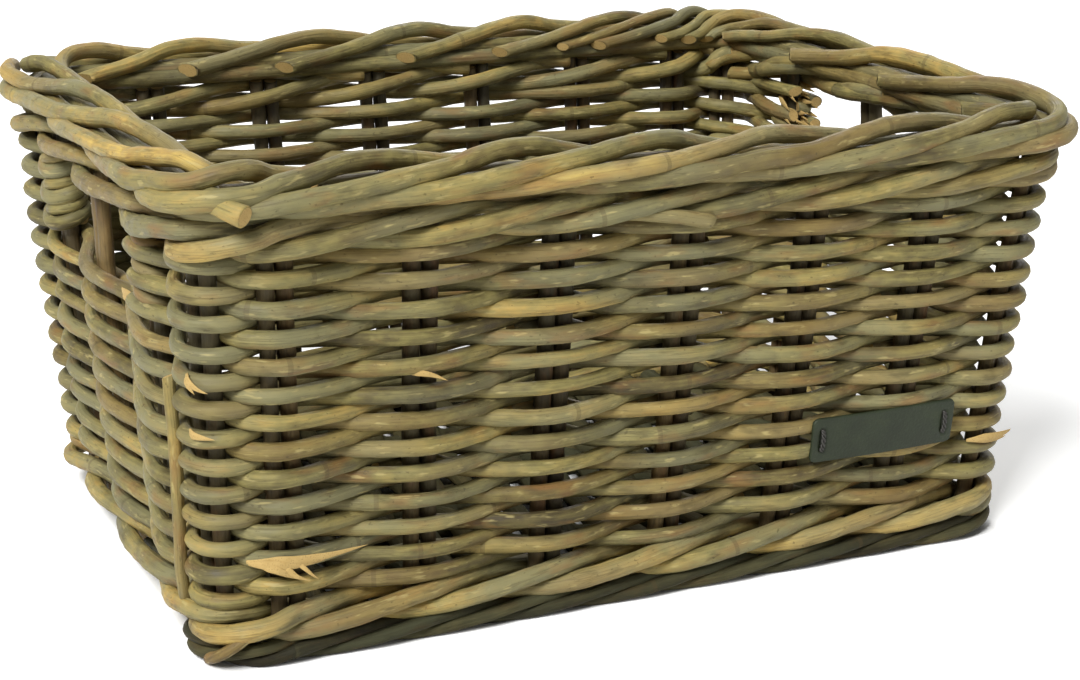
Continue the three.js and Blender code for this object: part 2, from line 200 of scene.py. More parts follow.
def slow_wave(run, rng, periods):
    """Sum of sines of the given periods with random phases, from about -1 to 1."""
    phases = rng.uniform(0, 2 * math.pi, len(periods))
    return sum(np.sin(2 * math.pi * run / p + f) for p, f in zip(periods, phases)) / len(periods)


def rod(path, diameter, seed, tint, side_up=(0, 0, 1), slant=(0.3, 0.3), skew=0.0, taper=0.06, flat=1.0,
        profile=None, sides=ROD_SIDES, step=ROD_STEP):
    """One rattan rod: an uneven round section carried along a path, with a swelling at each growth joint
    and two cut ends. The radius is half the diameter times a slow wave, a taper and the joints' bumps;
    the section is an oval whose long axis turns slowly. Each point keeps its place in the rod, which the
    fibres follow, and a tint, one value or several spread evenly along the rod."""
    rng = np.random.default_rng(seed)
    length = np.linalg.norm(np.diff(path, axis=0), axis=1)
    travelled = np.append(0, np.cumsum(length))
    run = np.linspace(0, travelled[-1], max(FEWEST_RINGS, int(travelled[-1] / step) + 1))
    centre = np.stack([np.interp(run, travelled, path[:, k]) for k in range(3)], axis=1)
    heading = np.gradient(centre, axis=0)
    heading /= np.linalg.norm(heading, axis=1, keepdims=True)
    across = np.cross(np.asarray(side_up, float), heading)
    across /= np.linalg.norm(across, axis=1, keepdims=True)
    above = np.cross(heading, across)

    joints = JOINT_NUMBERS * JOINT_SPACING + rng.uniform(JOINT_FIRST, JOINT_SPACING)
    joints = joints + rng.uniform(-JOINT_SCATTER, JOINT_SCATTER, len(joints))
    gaps = run[:, None] - joints[None]
    to_joint = gaps[np.arange(len(run)), np.abs(gaps).argmin(axis=1)]
    wave = WAVE_SHARE * slow_wave(run, rng, WAVE_PERIODS)
    radius = diameter / 2 * (1 + wave + taper * (0.5 - run / run[-1]))
    radius *= 1 + JOINT_SWELL * np.exp(-(to_joint / JOINT_SPREAD) ** 2)
    if profile is not None:
        radius *= profile(run / run[-1])
    angle = 2 * math.pi * np.arange(sides) / sides
    turn = rng.uniform(0, OVAL_START) + run[:, None] / OVAL_TURN
    oval = 1 + OVAL_SHARE * np.cos(2 * (angle - turn)) + TRIANGLE_SHARE * np.cos(3 * angle + turn)
    section = radius[:, None] * oval
    side, rise = section * np.cos(angle), section * np.sin(angle) * flat
    points = centre[:, None] + across[:, None] * side[..., None] + above[:, None] * rise[..., None]
    points[0] += heading[0] * (slant[0] * rise[0])[:, None]
    points[-1] += heading[-1] * (slant[1] * rise[-1] + skew * side[-1])[:, None]

    rings = len(run)
    grid = np.arange(rings * sides).reshape(rings, sides)
    following = np.roll(grid, -1, axis=1)
    walls = np.stack([grid[:-1], following[:-1], following[1:], grid[1:]], axis=-1).reshape(-1, 4)
    inside = np.stack([np.repeat(run[:, None], sides, axis=1), side, rise], axis=-1)
    ends, ends_inside, caps = [], [], []
    for number, (ring, away) in enumerate(((0, -1), (rings - 1, 1))):
        middle = points[ring].mean(axis=0)
        push = away * heading[ring] * radius[ring]
        inner = middle + END_SHARE * (points[ring] - middle) + END_BEVEL * push
        ends.append(np.vstack([inner, middle + END_CROWN * push]))
        ends_inside.append(np.vstack([inside[ring] * (1, END_SHARE, END_SHARE), inside[ring].mean(axis=0)]))
        rim = rings * sides + number * (sides + 1) + np.arange(sides)
        bevel = np.stack([grid[ring], following[ring], np.roll(rim, -1), rim], axis=-1)
        walls = np.concatenate([walls, bevel if away > 0 else bevel[:, ::-1]])
        fan = np.stack([rim, np.roll(rim, -1), np.full(sides, rim[-1] + 1)], axis=-1)
        caps.append(fan if away > 0 else fan[:, ::-1])

    place = np.concatenate([inside.reshape(-1, 3), *ends_inside]) + rng.uniform(0, PLACE_SPREAD, 3)
    tints = np.atleast_1d(tint)
    spread_tint = np.interp(run / run[-1], np.linspace(0, 1, len(tints)), tints)
    along_tint = np.clip(spread_tint + TINT_SWING * slow_wave(run, rng, TINT_PERIODS), 0, 1)

    def per_point(value):
        """A value for each ring, given to all its points and to those of the two ends."""
        first, last = np.full(sides + 1, value[0]), np.full(sides + 1, value[-1])
        return np.concatenate([np.repeat(value, sides), first, last])

    return {
        "points": np.concatenate([points.reshape(-1, 3), *ends]),
        "walls": walls,
        "caps": np.concatenate(caps),
        "place": place,
        "tint": per_point(along_tint),
        "joint": per_point(to_joint),
    }


def loose_rod(posts, knots, places, diameter, seed, tint, corner_radius=CORNER_RADIUS, **shape):
    """A rod that lies beside the wall: from post to post, on a smooth curve through outs and heights."""
    curve = through(knots, places, posts)
    path = wall_point(posts, curve[:, 0], curve[:, 1], corner_radius)
    return rod(path, diameter, seed, tint, **shape)


def link_piece(mesh, name, slot, *nodes):
    """Puts a finished mesh into the scene as a piece that rides on the basket and stands for CAD
    nodes."""
    piece = add_object(name, mesh)
    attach(piece, "root")
    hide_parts(*nodes)
    return piece


def rod_piece(name, rods, bark, slot, *nodes):
    """One mesh of several rods: their points, walls and cut ends one after another, with the rods' own
    coordinates, tints and distances to a joint as attributes."""
    starts = np.cumsum([0] + [len(r["points"]) for r in rods])
    points = np.concatenate([r["points"] for r in rods]) * MM
    walls = np.concatenate([r["walls"] + s for r, s in zip(rods, starts)])
    caps = np.concatenate([r["caps"] + s for r, s in zip(rods, starts)])
    mesh = bpy.data.meshes.new(name)
    mesh.vertices.add(len(points))
    mesh.vertices.foreach_set("co", points.astype(np.float32).ravel())
    corners = np.concatenate([walls.ravel(), caps.ravel()])
    mesh.loops.add(len(corners))
    mesh.loops.foreach_set("vertex_index", corners.astype(np.int32))
    counts = np.concatenate([np.full(len(walls), 4), np.full(len(caps), 3)])
    mesh.polygons.add(len(counts))
    mesh.polygons.foreach_set("loop_start", np.append(0, np.cumsum(counts)[:-1]).astype(np.int32))
    is_cap = np.arange(len(counts)) >= len(walls)
    mesh.polygons.foreach_set("material_index", is_cap.astype(np.int32))
    mesh.polygons.foreach_set("use_smooth", ~is_cap)
    mesh.update(calc_edges=True)
    for label, kind, field in (
        ("place", "FLOAT_VECTOR", "vector"), ("tint", "FLOAT", "value"), ("joint", "FLOAT", "value"),
    ):
        values = np.concatenate([r[label] for r in rods]).astype(np.float32)
        mesh.attributes.new(f"rod_{label}", kind, "POINT").data.foreach_set(field, values.ravel())
    mesh.materials.append(bark)
    mesh.materials.append(CUT_END)
    return link_piece(mesh, name, slot, *nodes)


def linear(hex_colour):
    """Linear RGBA of an sRGB hex colour."""
    srgb = [int(hex_colour[k:k + 2], 16) / 255 for k in (1, 3, 5)]
    return (*[c / 12.92 if c <= 0.04045 else ((c + 0.055) / 1.055) ** 2.4 for c in srgb], 1.0)


def connect(tree, node, links):
    """Sets a node's sockets, by number or name: a source is linked, and a value is written."""
    for key, value in links.items():
        if isinstance(value, bpy.types.NodeSocket):
            tree.links.new(value, node.inputs[key])
        else:
            node.inputs[key].default_value = value


def add_node(tree, kind, settings=None, links=None):
    """Adds a node: settings are its properties and colour stops, links its sockets' values or sources."""
    node = tree.nodes.new(kind)
    for key, value in (settings or {}).items():
        if key == "stops":
            for place, colour in value[2:]:
                node.color_ramp.elements.new(place)
            for stop, (place, colour) in zip(node.color_ramp.elements, value):
                stop.position, stop.color = place, linear(colour)
        else:
            setattr(node, key, value)
    connect(tree, node, links or {})
    return node


def new_material(name):
    """An empty material with its shader, and its node tree."""
    material = bpy.data.materials.new(name)
    material.use_nodes = True
    tree = material.node_tree
    return material, tree, tree.nodes["Principled BSDF"]


# Noises drawn out along a rod: length and width of their features in millimetres, and detail. Fibres and
# hairlines are a few tenths of a millimetre wide on real rattan, and are drawn coarser so that they show
ROD_NOISES = {
    "fibre": (55.0, 1.3, 3.0), "hairline": (70.0, 2.6, 1.0), "mottle": (8.0, 4.5, 3.0),
    "patch": (60.0, 16.0, 2.0), "bleach": (85.0, 30.0, 2.0), "tan": (110.0, 45.0, 2.0),
    "stain": (26.0, 9.0, 3.0), "soil": (15.0, 5.0, 3.0), "speck": (2.6, 1.8, 2.0),
    "flake": (10.0, 2.4, 2.0),
}
# Nearly all of a noise lies between these values
NOISE_LOW, NOISE_HIGH = 0.3, 0.7
SHADE_SWINGS = (("patch", 0.20), ("mottle", 0.13), ("fibre", 0.08))
# Thin dark lines: the value in their middle, half their width, how much they cover, and colour
HAIRLINE, JOINT_RING = (0.5, 0.011, 0.25, "#3b3120"), (0.0, 1.1, 0.35, "#4a3d28")
RATTAN_IOR, SMOOTH_BARK, ROUGH_BARK = 1.5, 0.5, 0.75
BARK_BUMP, BARK_RELIEF = 0.8, 0.7 * MM


def weathered_rattan(name, stops, coats, sheen=0.28):
    """Kubu rattan, steamed in mud and dried: matt grey-olive bark with straw and brown lengths, mottled
    and flaked, with fine fibre lines along the rod, split hairlines, soft stains, and a dark ring at each
    growth joint. The tint and three noises give a place on the ramp of stops; each coat then covers it
    where its noise is high."""
    material, tree, shader = new_material(name)
    place = add_node(tree, "ShaderNodeAttribute", {"attribute_name": "rod_place"}).outputs["Vector"]
    shade = add_node(tree, "ShaderNodeAttribute", {"attribute_name": "rod_tint"}).outputs["Fac"]
    joint = add_node(tree, "ShaderNodeAttribute", {"attribute_name": "rod_joint"}).outputs["Fac"]
    noise = {}
    for label, (length, width, detail) in ROD_NOISES.items():
        drawn = add_node(tree, "ShaderNodeMapping", None,
                         {"Vector": place, "Scale": (1 / length, 1 / width, 1 / width)}).outputs[0]
        noise[label] = add_node(tree, "ShaderNodeTexNoise", None,
                                {"Vector": drawn, "Scale": 1.0, "Detail": detail}).outputs[0]

    for label, swing in SHADE_SWINGS:
        change = add_node(tree, "ShaderNodeMapRange", None, {
            "Value": noise[label], 1: NOISE_LOW, 2: NOISE_HIGH, 3: -swing, 4: swing,
        }).outputs[0]
        shade = add_node(tree, "ShaderNodeMath", {"operation": "ADD"}, {0: shade, 1: change}).outputs[0]
    colour = add_node(tree, "ShaderNodeValToRGB", {"stops": stops}, {"Fac": shade}).outputs["Color"]
    for label, low, high, share, coat in coats:
        cover = add_node(tree, "ShaderNodeMapRange", None,
                         {"Value": noise[label], 1: low, 2: high, 3: 0.0, 4: share}).outputs[0]
        colour = add_node(tree, "ShaderNodeMix", {"data_type": "RGBA"},
                          {0: cover, 6: colour, 7: linear(coat)}).outputs[2]
    relief = add_node(tree, "ShaderNodeMath", {"operation": "ADD"},
                      {0: noise["fibre"], 1: noise["mottle"]}).outputs[0]
    for source, (middle, half_width, share, line) in ((noise["hairline"], HAIRLINE), (joint, JOINT_RING)):
        near = add_node(tree, "ShaderNodeMath", {"operation": "COMPARE"},
                        {0: source, 1: middle, 2: half_width}).outputs[0]
        cover = add_node(tree, "ShaderNodeMath", {"operation": "MULTIPLY"}, {0: near, 1: share}).outputs[0]
        colour = add_node(tree, "ShaderNodeMix", {"data_type": "RGBA"},
                          {0: cover, 6: colour, 7: linear(line)}).outputs[2]
        relief = add_node(tree, "ShaderNodeMath", {"operation": "SUBTRACT"},
                          {0: relief, 1: cover}).outputs[0]
    gloss = add_node(tree, "ShaderNodeMapRange", None, {
        "Value": noise["mottle"], 1: NOISE_LOW, 2: NOISE_HIGH, 3: SMOOTH_BARK, 4: ROUGH_BARK,
    }).outputs[0]
    bump = add_node(tree, "ShaderNodeBump", None,
                    {"Strength": BARK_BUMP, "Distance": BARK_RELIEF, "Height": relief}).outputs[0]
    connect(tree, shader, {"Base Color": colour, "Roughness": gloss, "Normal": bump, "IOR": RATTAN_IOR,
                           "Specular IOR Level": sheen})
    return material


def cut_rattan_end():
    """A sawn rattan end: pale tan pith with open pores, quite matt. Real pores are about a third of a
    millimetre wide, and are drawn coarser so that they show."""
    pore_spacing, grime_size = 0.9 * MM, 3 * MM
    material, tree, shader = new_material("cut_rattan_end")
    at = add_node(tree, "ShaderNodeTexCoord").outputs["Object"]
    pores = add_node(tree, "ShaderNodeTexVoronoi", None,
                     {"Vector": at, "Scale": 1 / pore_spacing}).outputs["Distance"]
    grime = add_node(tree, "ShaderNodeTexNoise", None, {"Vector": at, "Scale": 1 / grime_size}).outputs[0]
    dots = add_node(tree, "ShaderNodeValToRGB", {"stops": [(0.12, "#7a6238"), (0.34, "#b89c62")]},
                    {"Fac": pores}).outputs[0]
    soft = add_node(tree, "ShaderNodeMix", {"data_type": "RGBA"}, {0: grime, 6: dots, 7: linear("#a88b50")})
    connect(tree, shader, {"Base Color": soft.outputs[2], "Roughness": 0.8})
    return material


# Barks: stops of tint and colour, then coats: noise, where they begin and are full, share and colour
RATTAN = weathered_rattan("weathered_kubu_rattan", [
    (0.0, "#3d341e"), (0.22, "#5e5532"), (0.42, "#7b7244"), (0.62, "#92834d"), (0.82, "#ac9151"),
    (1.0, "#c2a65b"),
], [
    ("bleach", 0.42, 0.62, 0.75, "#767354"), ("tan", 0.48, 0.66, 0.5, "#876e3e"),
    ("stain", 0.55, 0.72, 0.5, "#835b30"), ("soil", 0.56, 0.72, 0.5, "#40381f"),
    ("flake", 0.62, 0.72, 0.5, "#b0a26c"), ("speck", 0.66, 0.74, 0.5, "#3a321c"),
])
STAKE_RATTAN = weathered_rattan("dark_stake_rattan", [
    (0.0, "#2f2717"), (0.35, "#4a3d25"), (0.7, "#665433"), (1.0, "#846c42"),
], [
    ("bleach", 0.42, 0.62, 0.75, "#49442f"), ("stain", 0.55, 0.72, 0.6, "#644426"),
    ("soil", 0.56, 0.72, 0.5, "#30291a"),
])
# Base bark, for the foot ring and the floor: darker than the other barks, partly soil and partly painted
# shade for parts that lie in shadow under and inside the basket
BASE_RATTAN = weathered_rattan("soiled_base_rattan_with_painted_shade", [
    (0.0, "#25221a"), (0.35, "#3b3826"), (0.7, "#524c32"), (1.0, "#6a603e"),
], [
    ("bleach", 0.42, 0.62, 0.75, "#434432"), ("stain", 0.55, 0.72, 0.5, "#4e3d26"),
    ("soil", 0.56, 0.72, 0.5, "#292619"),
], sheen=0.06)
CUT_END = cut_rattan_end()

# Tints run from 0, dark brown, to 1, bright straw
LENGTH_SCATTER, SPOT_SCATTER = 0.07, 0.10
draw = np.random.default_rng(41)


def new_seed():
    """A seed for one rod: a random whole number below a million."""
    return int(draw.integers(1, 10**6))


# Sag of the finished weave: reach, waves round the basket, phase, and its change from course to course
SAGS = ((0.9, 2, 0.0, 0.06), (0.6, 5, 1.3, 0.1))
SQUARENESS = 0.02
# Courses: scatter of the rods' diameters, how far two lengths overlap in posts, and how their ends lie
ROW_THINNER, ROW_THICKER, ROW_GAP = -0.9, 0.6, 0.35
NEW_OVERLAP, OLD_OVERLAP, NEW_LIFT, OLD_LEAN = 0.30, 0.24, 6.4, 2.2
SETTLE_FROM, SETTLE_TO, LEAN_FROM = 0.02, 0.42, 0.1
REACH_WAVE, HEIGHT_WAVE = (0.05, (2.7, 4.3)), (1.1, (1.9, 3.1, 5.3))
ROW_TINT, ROW_TINT_FALL = 0.39, 0.07


def row_height(row):
    """Height of a course's centre line: an even pitch."""
    return FIRST_ROW + ROW_PITCH * row


def weave_wave(phase):
    """Side of the wall from 1, outside, to -1, inside: a cosine with a little of its third harmonic."""
    return (np.cos(math.pi * phase) + SQUARENESS * np.cos(3 * math.pi * phase)) / (1 + SQUARENESS)


def settle(post, row):
    """How far the finished weave sags or rises along a course, alike for its neighbours: two sines."""
    share = 2 * math.pi * np.asarray(post) / POSTS
    return sum(reach * np.sin(waves * share + phase + change * row) for reach, waves, phase, change in SAGS)


def length_tints(mean, spots):
    """Tints along a length: its own mean, and a few places that are brighter or darker."""
    return mean + draw.normal(0, LENGTH_SCATTER) + draw.normal(0, SPOT_SCATTER, int(spots) + 2)


def course_rods(row):
    """One course of plain weave, in lengths that overlap at posts where they lie inside the wall. A new
    length starts on top of the old one's end and settles into the course; the old end leans a little
    inwards."""
    inside_posts = [k for k in range(POSTS) if (k + row) % 2 == 0]
    inside_count = len(inside_posts)
    count = int(draw.integers(2, 4))
    first = int(draw.integers(0, inside_count))
    joins = sorted(inside_posts[(first + k * inside_count // count) % inside_count] for k in range(count))
    rods = []
    for number, start in enumerate(joins):
        end = joins[(number + 1) % count] + (POSTS if number == count - 1 else 0)
        post = np.arange(start - NEW_OVERLAP, end + OLD_OVERLAP, POST_STEP)
        diameter = ROW_DIAMETER + draw.uniform(ROW_THINNER, ROW_THICKER)
        reach = STAKE_DIAMETER / 2 + diameter / 2 + ROW_GAP
        lift = NEW_LIFT * (1 - smooth_step(start + SETTLE_FROM, start + SETTLE_TO, post))
        lean = -OLD_LEAN * smooth_step(end - LEAN_FROM, end + OLD_OVERLAP, post)
        sway = 1 + REACH_WAVE[0] * slow_wave(post, draw, REACH_WAVE[1])
        out = reach * weave_wave(post + row + 1) * sway + lean
        rise = HEIGHT_WAVE[0] * slow_wave(post, draw, HEIGHT_WAVE[1])
        z = row_height(row) + settle(post, row) + lift + rise
        top_row = FULL_ROWS + HOLD_ROWS - 1
        tint = length_tints(ROW_TINT - ROW_TINT_FALL * row / top_row, (end - start) / 2)
        seed = new_seed()
        rods.append(rod(wall_point(post, out, z), diameter, seed, tint))
    return rods


# Torn strips on the courses: course, first and last post, out and height at four places between, and width
TORN_STRIPS = [
    (3, (-0.52, 0.56), [(7.0, 52.0), (11.6, 52.4), (11.8, 51.6), (9.0, 52.6)], 5.0),
    (3, (-0.50, 0.22), [(7.5, 51.4), (12.0, 51.0), (12.6, 49.8), (11.8, 49.6)], 4.6),
    (3, (-0.40, 0.02), [(9.0, 51.0), (12.8, 49.2), (13.6, 46.4), (13.4, 43.4)], 4.6),
    (3, (-0.20, 0.10), [(11.0, 51.0), (13.2, 48.4), (14.6, 45.0), (15.2, 42.0)], 3.0),
    (3, (0.02, 0.16), [(11.5, 50.5), (13.6, 48.0), (14.8, 44.8), (15.0, 42.2)], 2.4),
    (16, (20.98, 21.14), [(9.0, 140.0), (12.0, 138.5), (13.2, 136.0), (13.4, 133.4)], 4.6),
    (16, (20.98, 21.26), [(9.6, 139.8), (12.6, 138.2), (13.4, 136.0), (13.2, 134.6)], 4.0),
    (12, (20.96, 21.28), [(8.5, 113.0), (12.0, 113.2), (12.2, 113.0), (11.5, 112.6)], 4.6),
    (19, (19.90, 19.58), [(7.6, 156.5), (8.4, 156.4), (8.0, 155.6), (6.0, 154.6)], 5.2),
    (19, (19.88, 19.64), [(7.8, 155.0), (9.0, 154.6), (8.8, 153.8), (7.0, 152.8)], 3.6),
    (15, (0.86, 1.12), [(8.0, 133.5), (11.8, 133.8), (13.0, 132.2), (14.0, 129.5)], 3.2),
    (4, (5.7, 6.10), [(8.5, 55.5), (11.0, 55.8), (14.0, 55.0), (18.0, 53.5)], 4.8),
    (4, (5.75, 6.06), [(8.5, 54.5), (11.0, 54.0), (13.0, 52.8), (15.5, 51.0)], 3.0),
]
STRIP_POINTS, STRIP_FLATNESS = 60, 0.35
STRIP_START, STRIP_WIDENING, STRIP_FULL = 0.35, 2.5, 1.02


def strip_profile(share):
    """Width of a torn strip along its length: it widens evenly, then narrows to a point in a parabola."""
    return np.minimum(STRIP_START + STRIP_WIDENING * share, STRIP_FULL - share**2)


def torn_strip(posts, shape, width, seed):
    """A strip torn off a rod: a flat rod on a smooth curve through four places beside the wall, that
    narrows to a point, all of it pale pith."""
    at = np.linspace(*posts, STRIP_POINTS)
    curve = through(np.linspace(0, 1, len(shape)), shape, np.linspace(0, 1, STRIP_POINTS))
    path = wall_point(at, curve[:, 0], curve[:, 1])
    middle = STRIP_POINTS // 2
    outward = wall_point(at[middle], 10, curve[middle, 1]) - wall_point(at[middle], 0, curve[middle, 1])
    strip = rod(path, width, seed, 1.0, side_up=outward, taper=0, flat=STRIP_FLATNESS,
                profile=strip_profile, sides=10, step=1.5)
    walls = strip["walls"]
    strip["caps"] = np.concatenate([strip["caps"], walls[:, :3], walls[:, [0, 2, 3]]])
    strip["walls"] = walls[:0]
    return strip


def torn_strips(row):
    """All the strips torn off one course."""
    return [torn_strip(*strip[1:], 500 + k) for k, strip in enumerate(TORN_STRIPS) if strip[0] == row]


for row in range(FULL_ROWS):
    rods = course_rods(row) + torn_strips(row)
    rod_piece(f"course_{row + 1:02d}", rods, RATTAN, "weaver_rattan", f"weaver_row_{row + 1:02d}")

# Courses beside the hand holds, two to a length, and how far the lengths' ends pass the edge stakes
FRONT_EDGES, FRONT_TAILS = (20, 29), ((0.12, 0.10), (0.09, 0.13), (0.14, 0.10))
BACK_EDGES, BACK_TAILS = (9, 18), ((0.17, 0.22), (0.20, 0.18), (0.16, 0.20))
HOLD_GAP, TURN_GAP, HOLD_TINT = 0.3, 0.2, 0.38
HOLD_THINNER, HOLD_THICKER = -0.4, 0.3
# A ripple along these courses: its height, and its turns by post and by course
RIPPLE, RIPPLE_BY_POST, RIPPLE_BY_COURSE = 0.35, 1.7, 2.3
# A thin rod wound round a hold's edge stakes: where its screw starts and ends, as an angle
WRAP_DIAMETER, WRAP_GAP, WRAP_TINT = 6.4, 0.4, 0.4
WRAP_START, WRAP_END = -math.pi, 4.6 * math.pi
# Frayed fibres at the right hold's back edge: number, heights, sides of the wall, where they start and end
FRAY_COUNT, FRAY_HEIGHTS, FRAY_SIDES, FRAY_START, FRAY_END = 34, (166, 203), (-11, 8), 9.02, 8.84
# How much farther they reach in posts, where their roots and tips lie from their sides, and their widths
FRAY_REACH, FRAY_ROOT, FRAY_TIP_OUT, FRAY_TIP_RISE, FRAY_WIDTHS = 0.11, 0.8, (-5, 5), (-6, 3), (2.0, 5.0)
# Short lengths that close the corner under the lifted waling: first and last post, heights and course
CORNER_LENGTHS = (((10.3, 8.82), (191.0, 196.5), 25), ((9.8, 8.86), (196.5, 204.0), 26))
CORNER_DIAMETER, CORNER_REACH, CORNER_TINT = 7.2, 8.0, 0.42


def hold_route(first, last, courses, tails):
    """Route of a length that goes to and fro beside a hand hold: a course of plain weave, half a turn
    round the edge stakes while it climbs to the next course, then back. Tails are how far its two ends
    pass the edge stakes."""
    reach = STAKE_DIAMETER / 2 + ROW_DIAMETER / 2 + HOLD_GAP
    turn_reach = (LEG_OFFSET + STAKE_DIAMETER / 2 + ROW_DIAMETER / 2 + TURN_GAP) / SIDE_PITCH
    pieces = []
    for number, row in enumerate(courses):
        way = 1 if number % 2 == 0 else -1
        post = np.arange(first, last + 1e-6, POST_STEP)[::way]
        if number == 0:
            post = np.concatenate([post[0] - way * np.arange(tails[0], 0.001, -POST_STEP), post])
        if number == len(courses) - 1:
            post = np.concatenate([post, post[-1] + way * np.arange(POST_STEP, tails[1], POST_STEP)])
        out = reach * weave_wave(post + row + 1)
        ripple = RIPPLE * np.sin(post * RIPPLE_BY_POST + row * RIPPLE_BY_COURSE)
        z = row_height(row) + settle(post, row) + ripple
        pieces.append(np.stack([post, out, z], axis=1))
        if number < len(courses) - 1:
            angle = np.linspace(0, math.pi, 26)[1:-1]
            edge = last if way > 0 else first
            side = reach * weave_wave(edge + row + 1)
            climb = smooth_step(0, math.pi, angle)
            z_turn = pieces[-1][-1, 2] + climb * (row_height(row + 1) - row_height(row))
            turn = np.stack([edge + way * turn_reach * np.sin(angle), side * np.cos(angle), z_turn], axis=1)
            pieces.append(turn)
    route = np.concatenate(pieces)
    return wall_point(route[:, 0], route[:, 1], route[:, 2])


def hold_rods(edges, all_tails):
    """The courses between two hand holds, as separate lengths of two courses."""
    rods = []
    for number, tails in enumerate(all_tails):
        lower = FULL_ROWS + 2 * number
        diameter = ROW_DIAMETER + draw.uniform(HOLD_THINNER, HOLD_THICKER)
        seed = new_seed()
        path = hold_route(*edges, (lower, lower + 1), tails)
        rods.append(rod(path, diameter, seed, length_tints(HOLD_TINT, 8)))
    return rods


def hold_wrap(post, hold_side):
    """A thin rod wound round the stakes at a hand hold's edge: an oval screw of two courses' pitch, that
    passes outside where the courses turn in, so that the edge is closed."""
    angle = np.arange(WRAP_START, WRAP_END, 0.06)
    z = row_height(FULL_ROWS + 1 - post % 2) + angle / math.pi * ROW_PITCH + settle(post, FULL_ROWS)
    along = hold_side * (LEG_OFFSET + STAKE_DIAMETER / 2 + WRAP_DIAMETER / 2) * np.sin(angle)
    out = (STAKE_DIAMETER / 2 + WRAP_DIAMETER / 2 + WRAP_GAP) * np.cos(angle)
    path = wall_point(post, out, z) + along_wall(post, z) * along[:, None]
    return rod(path, WRAP_DIAMETER, 800 + post, length_tints(WRAP_TINT, 6))


def frayed_fibres():
    """Torn strips that stick out into the right hold, at random heights and sides of its back edge."""
    strips = []
    for fibre in range(FRAY_COUNT):
        low, side = draw.uniform(*FRAY_HEIGHTS), draw.uniform(*FRAY_SIDES)
        tip = (side + draw.uniform(*FRAY_TIP_OUT), low + draw.uniform(*FRAY_TIP_RISE))
        places = np.linspace((side * FRAY_ROOT, low), tip, 4)
        reach = (FRAY_START, FRAY_END - draw.uniform(0, FRAY_REACH))
        strips.append(torn_strip(reach, places, draw.uniform(*FRAY_WIDTHS), 700 + fibre))
    return strips


front_rods = hold_rods(FRONT_EDGES, FRONT_TAILS) + torn_strips(FULL_ROWS)
front_rods += [hold_wrap(20, -1), hold_wrap(7, 1)]
rod_piece("hold_courses_front", front_rods, RATTAN, "weaver_rattan", "hold_weaver_front")
frayed = frayed_fibres()
back_rods = hold_rods(BACK_EDGES, BACK_TAILS) + frayed
back_rods += [hold_wrap(9, -1), hold_wrap(18, 1)]
for posts, heights, row in CORNER_LENGTHS:
    post = np.linspace(*posts, 150)
    z = np.linspace(*heights, 150) + 0.5 * np.sin(7 * post)
    corner_path = wall_point(post, CORNER_REACH * weave_wave(post + row + 1), z)
    corner_tint = length_tints(CORNER_TINT, 1)
    back_rods.append(rod(corner_path, CORNER_DIAMETER, 840 + row, corner_tint, slant=(0.3, 0.5), skew=0.8))
rod_piece("hold_courses_back", back_rods, RATTAN, "weaver_rattan", "hold_weaver_back")

# Waling: posts where its lengths meet, its route's mean, swing and flattening, its period and overlaps in
# posts, how its ends lie, half its rise, its lift over the right hold, and its lengths' tints
WALE_CUTS = (8, 20, 32, 41, 53, 62, 74)
WALE_OUT, WALE_SWING, WALE_FLATTENING = 3.0, 10.6, 1.5
WALE_SCATTER, WALE_SAG, WALE_LEAN, WALE_LIFT, WALE_SETTLE = 0.4, 0.5, 2.0, 2.5, (-0.05, 0.3)
WALE_PERIOD, WALE_NEW_OVERLAP, WALE_OLD_OVERLAP = 3, 0.28, 0.22
BOTTOM_RISE, TOP_RISE = 4.9, 5.6
HOLD_LIFT, HOLD_LIFT_POST, HOLD_LIFT_SPREAD = 8.0, 8.6, 1.2
BOTTOM_TINTS = (
    0.5, (0.5, 0.78, 0.66, 0.6, 0.7), 0.55, (0.5, 0.66, 0.74, 0.68), 0.5, (0.45, 0.36, 0.5, 0.42),
)
TOP_TINTS = (
    0.5, (0.82, 0.86, 0.4, 0.36, 0.45, 0.5), 0.45, (0.35, 0.45, 0.6, 0.4), 0.4, (0.3, 0.42, 0.36),
)
# A waling rod's tail turned up beside the front left corner: heights, then post and out
UP_HEIGHTS = (16, 28, 60, 100, 122, 134)
UP_PLACES = [(20.70, 8.0), (20.73, 10.6), (20.76, 11.0), (20.82, 11.2), (20.78, 11.0), (20.70, 9.8)]
# Another, turned down over the foot there, and a loose end of the top waling: posts, then out and height
DOWN_POSTS = (21.12, 21.25, 21.38, 21.50)
DOWN_PLACES = [(13.0, 3.4), (16.5, 7.5), (16.5, 13.0), (12.0, 17.4)]
LOOSE_POSTS = (2.35, 2.6, 2.82, 3.05)
LOOSE_PLACES = [(7, 199), (11.5, 197.5), (14, 195.5), (16, 192.5)]


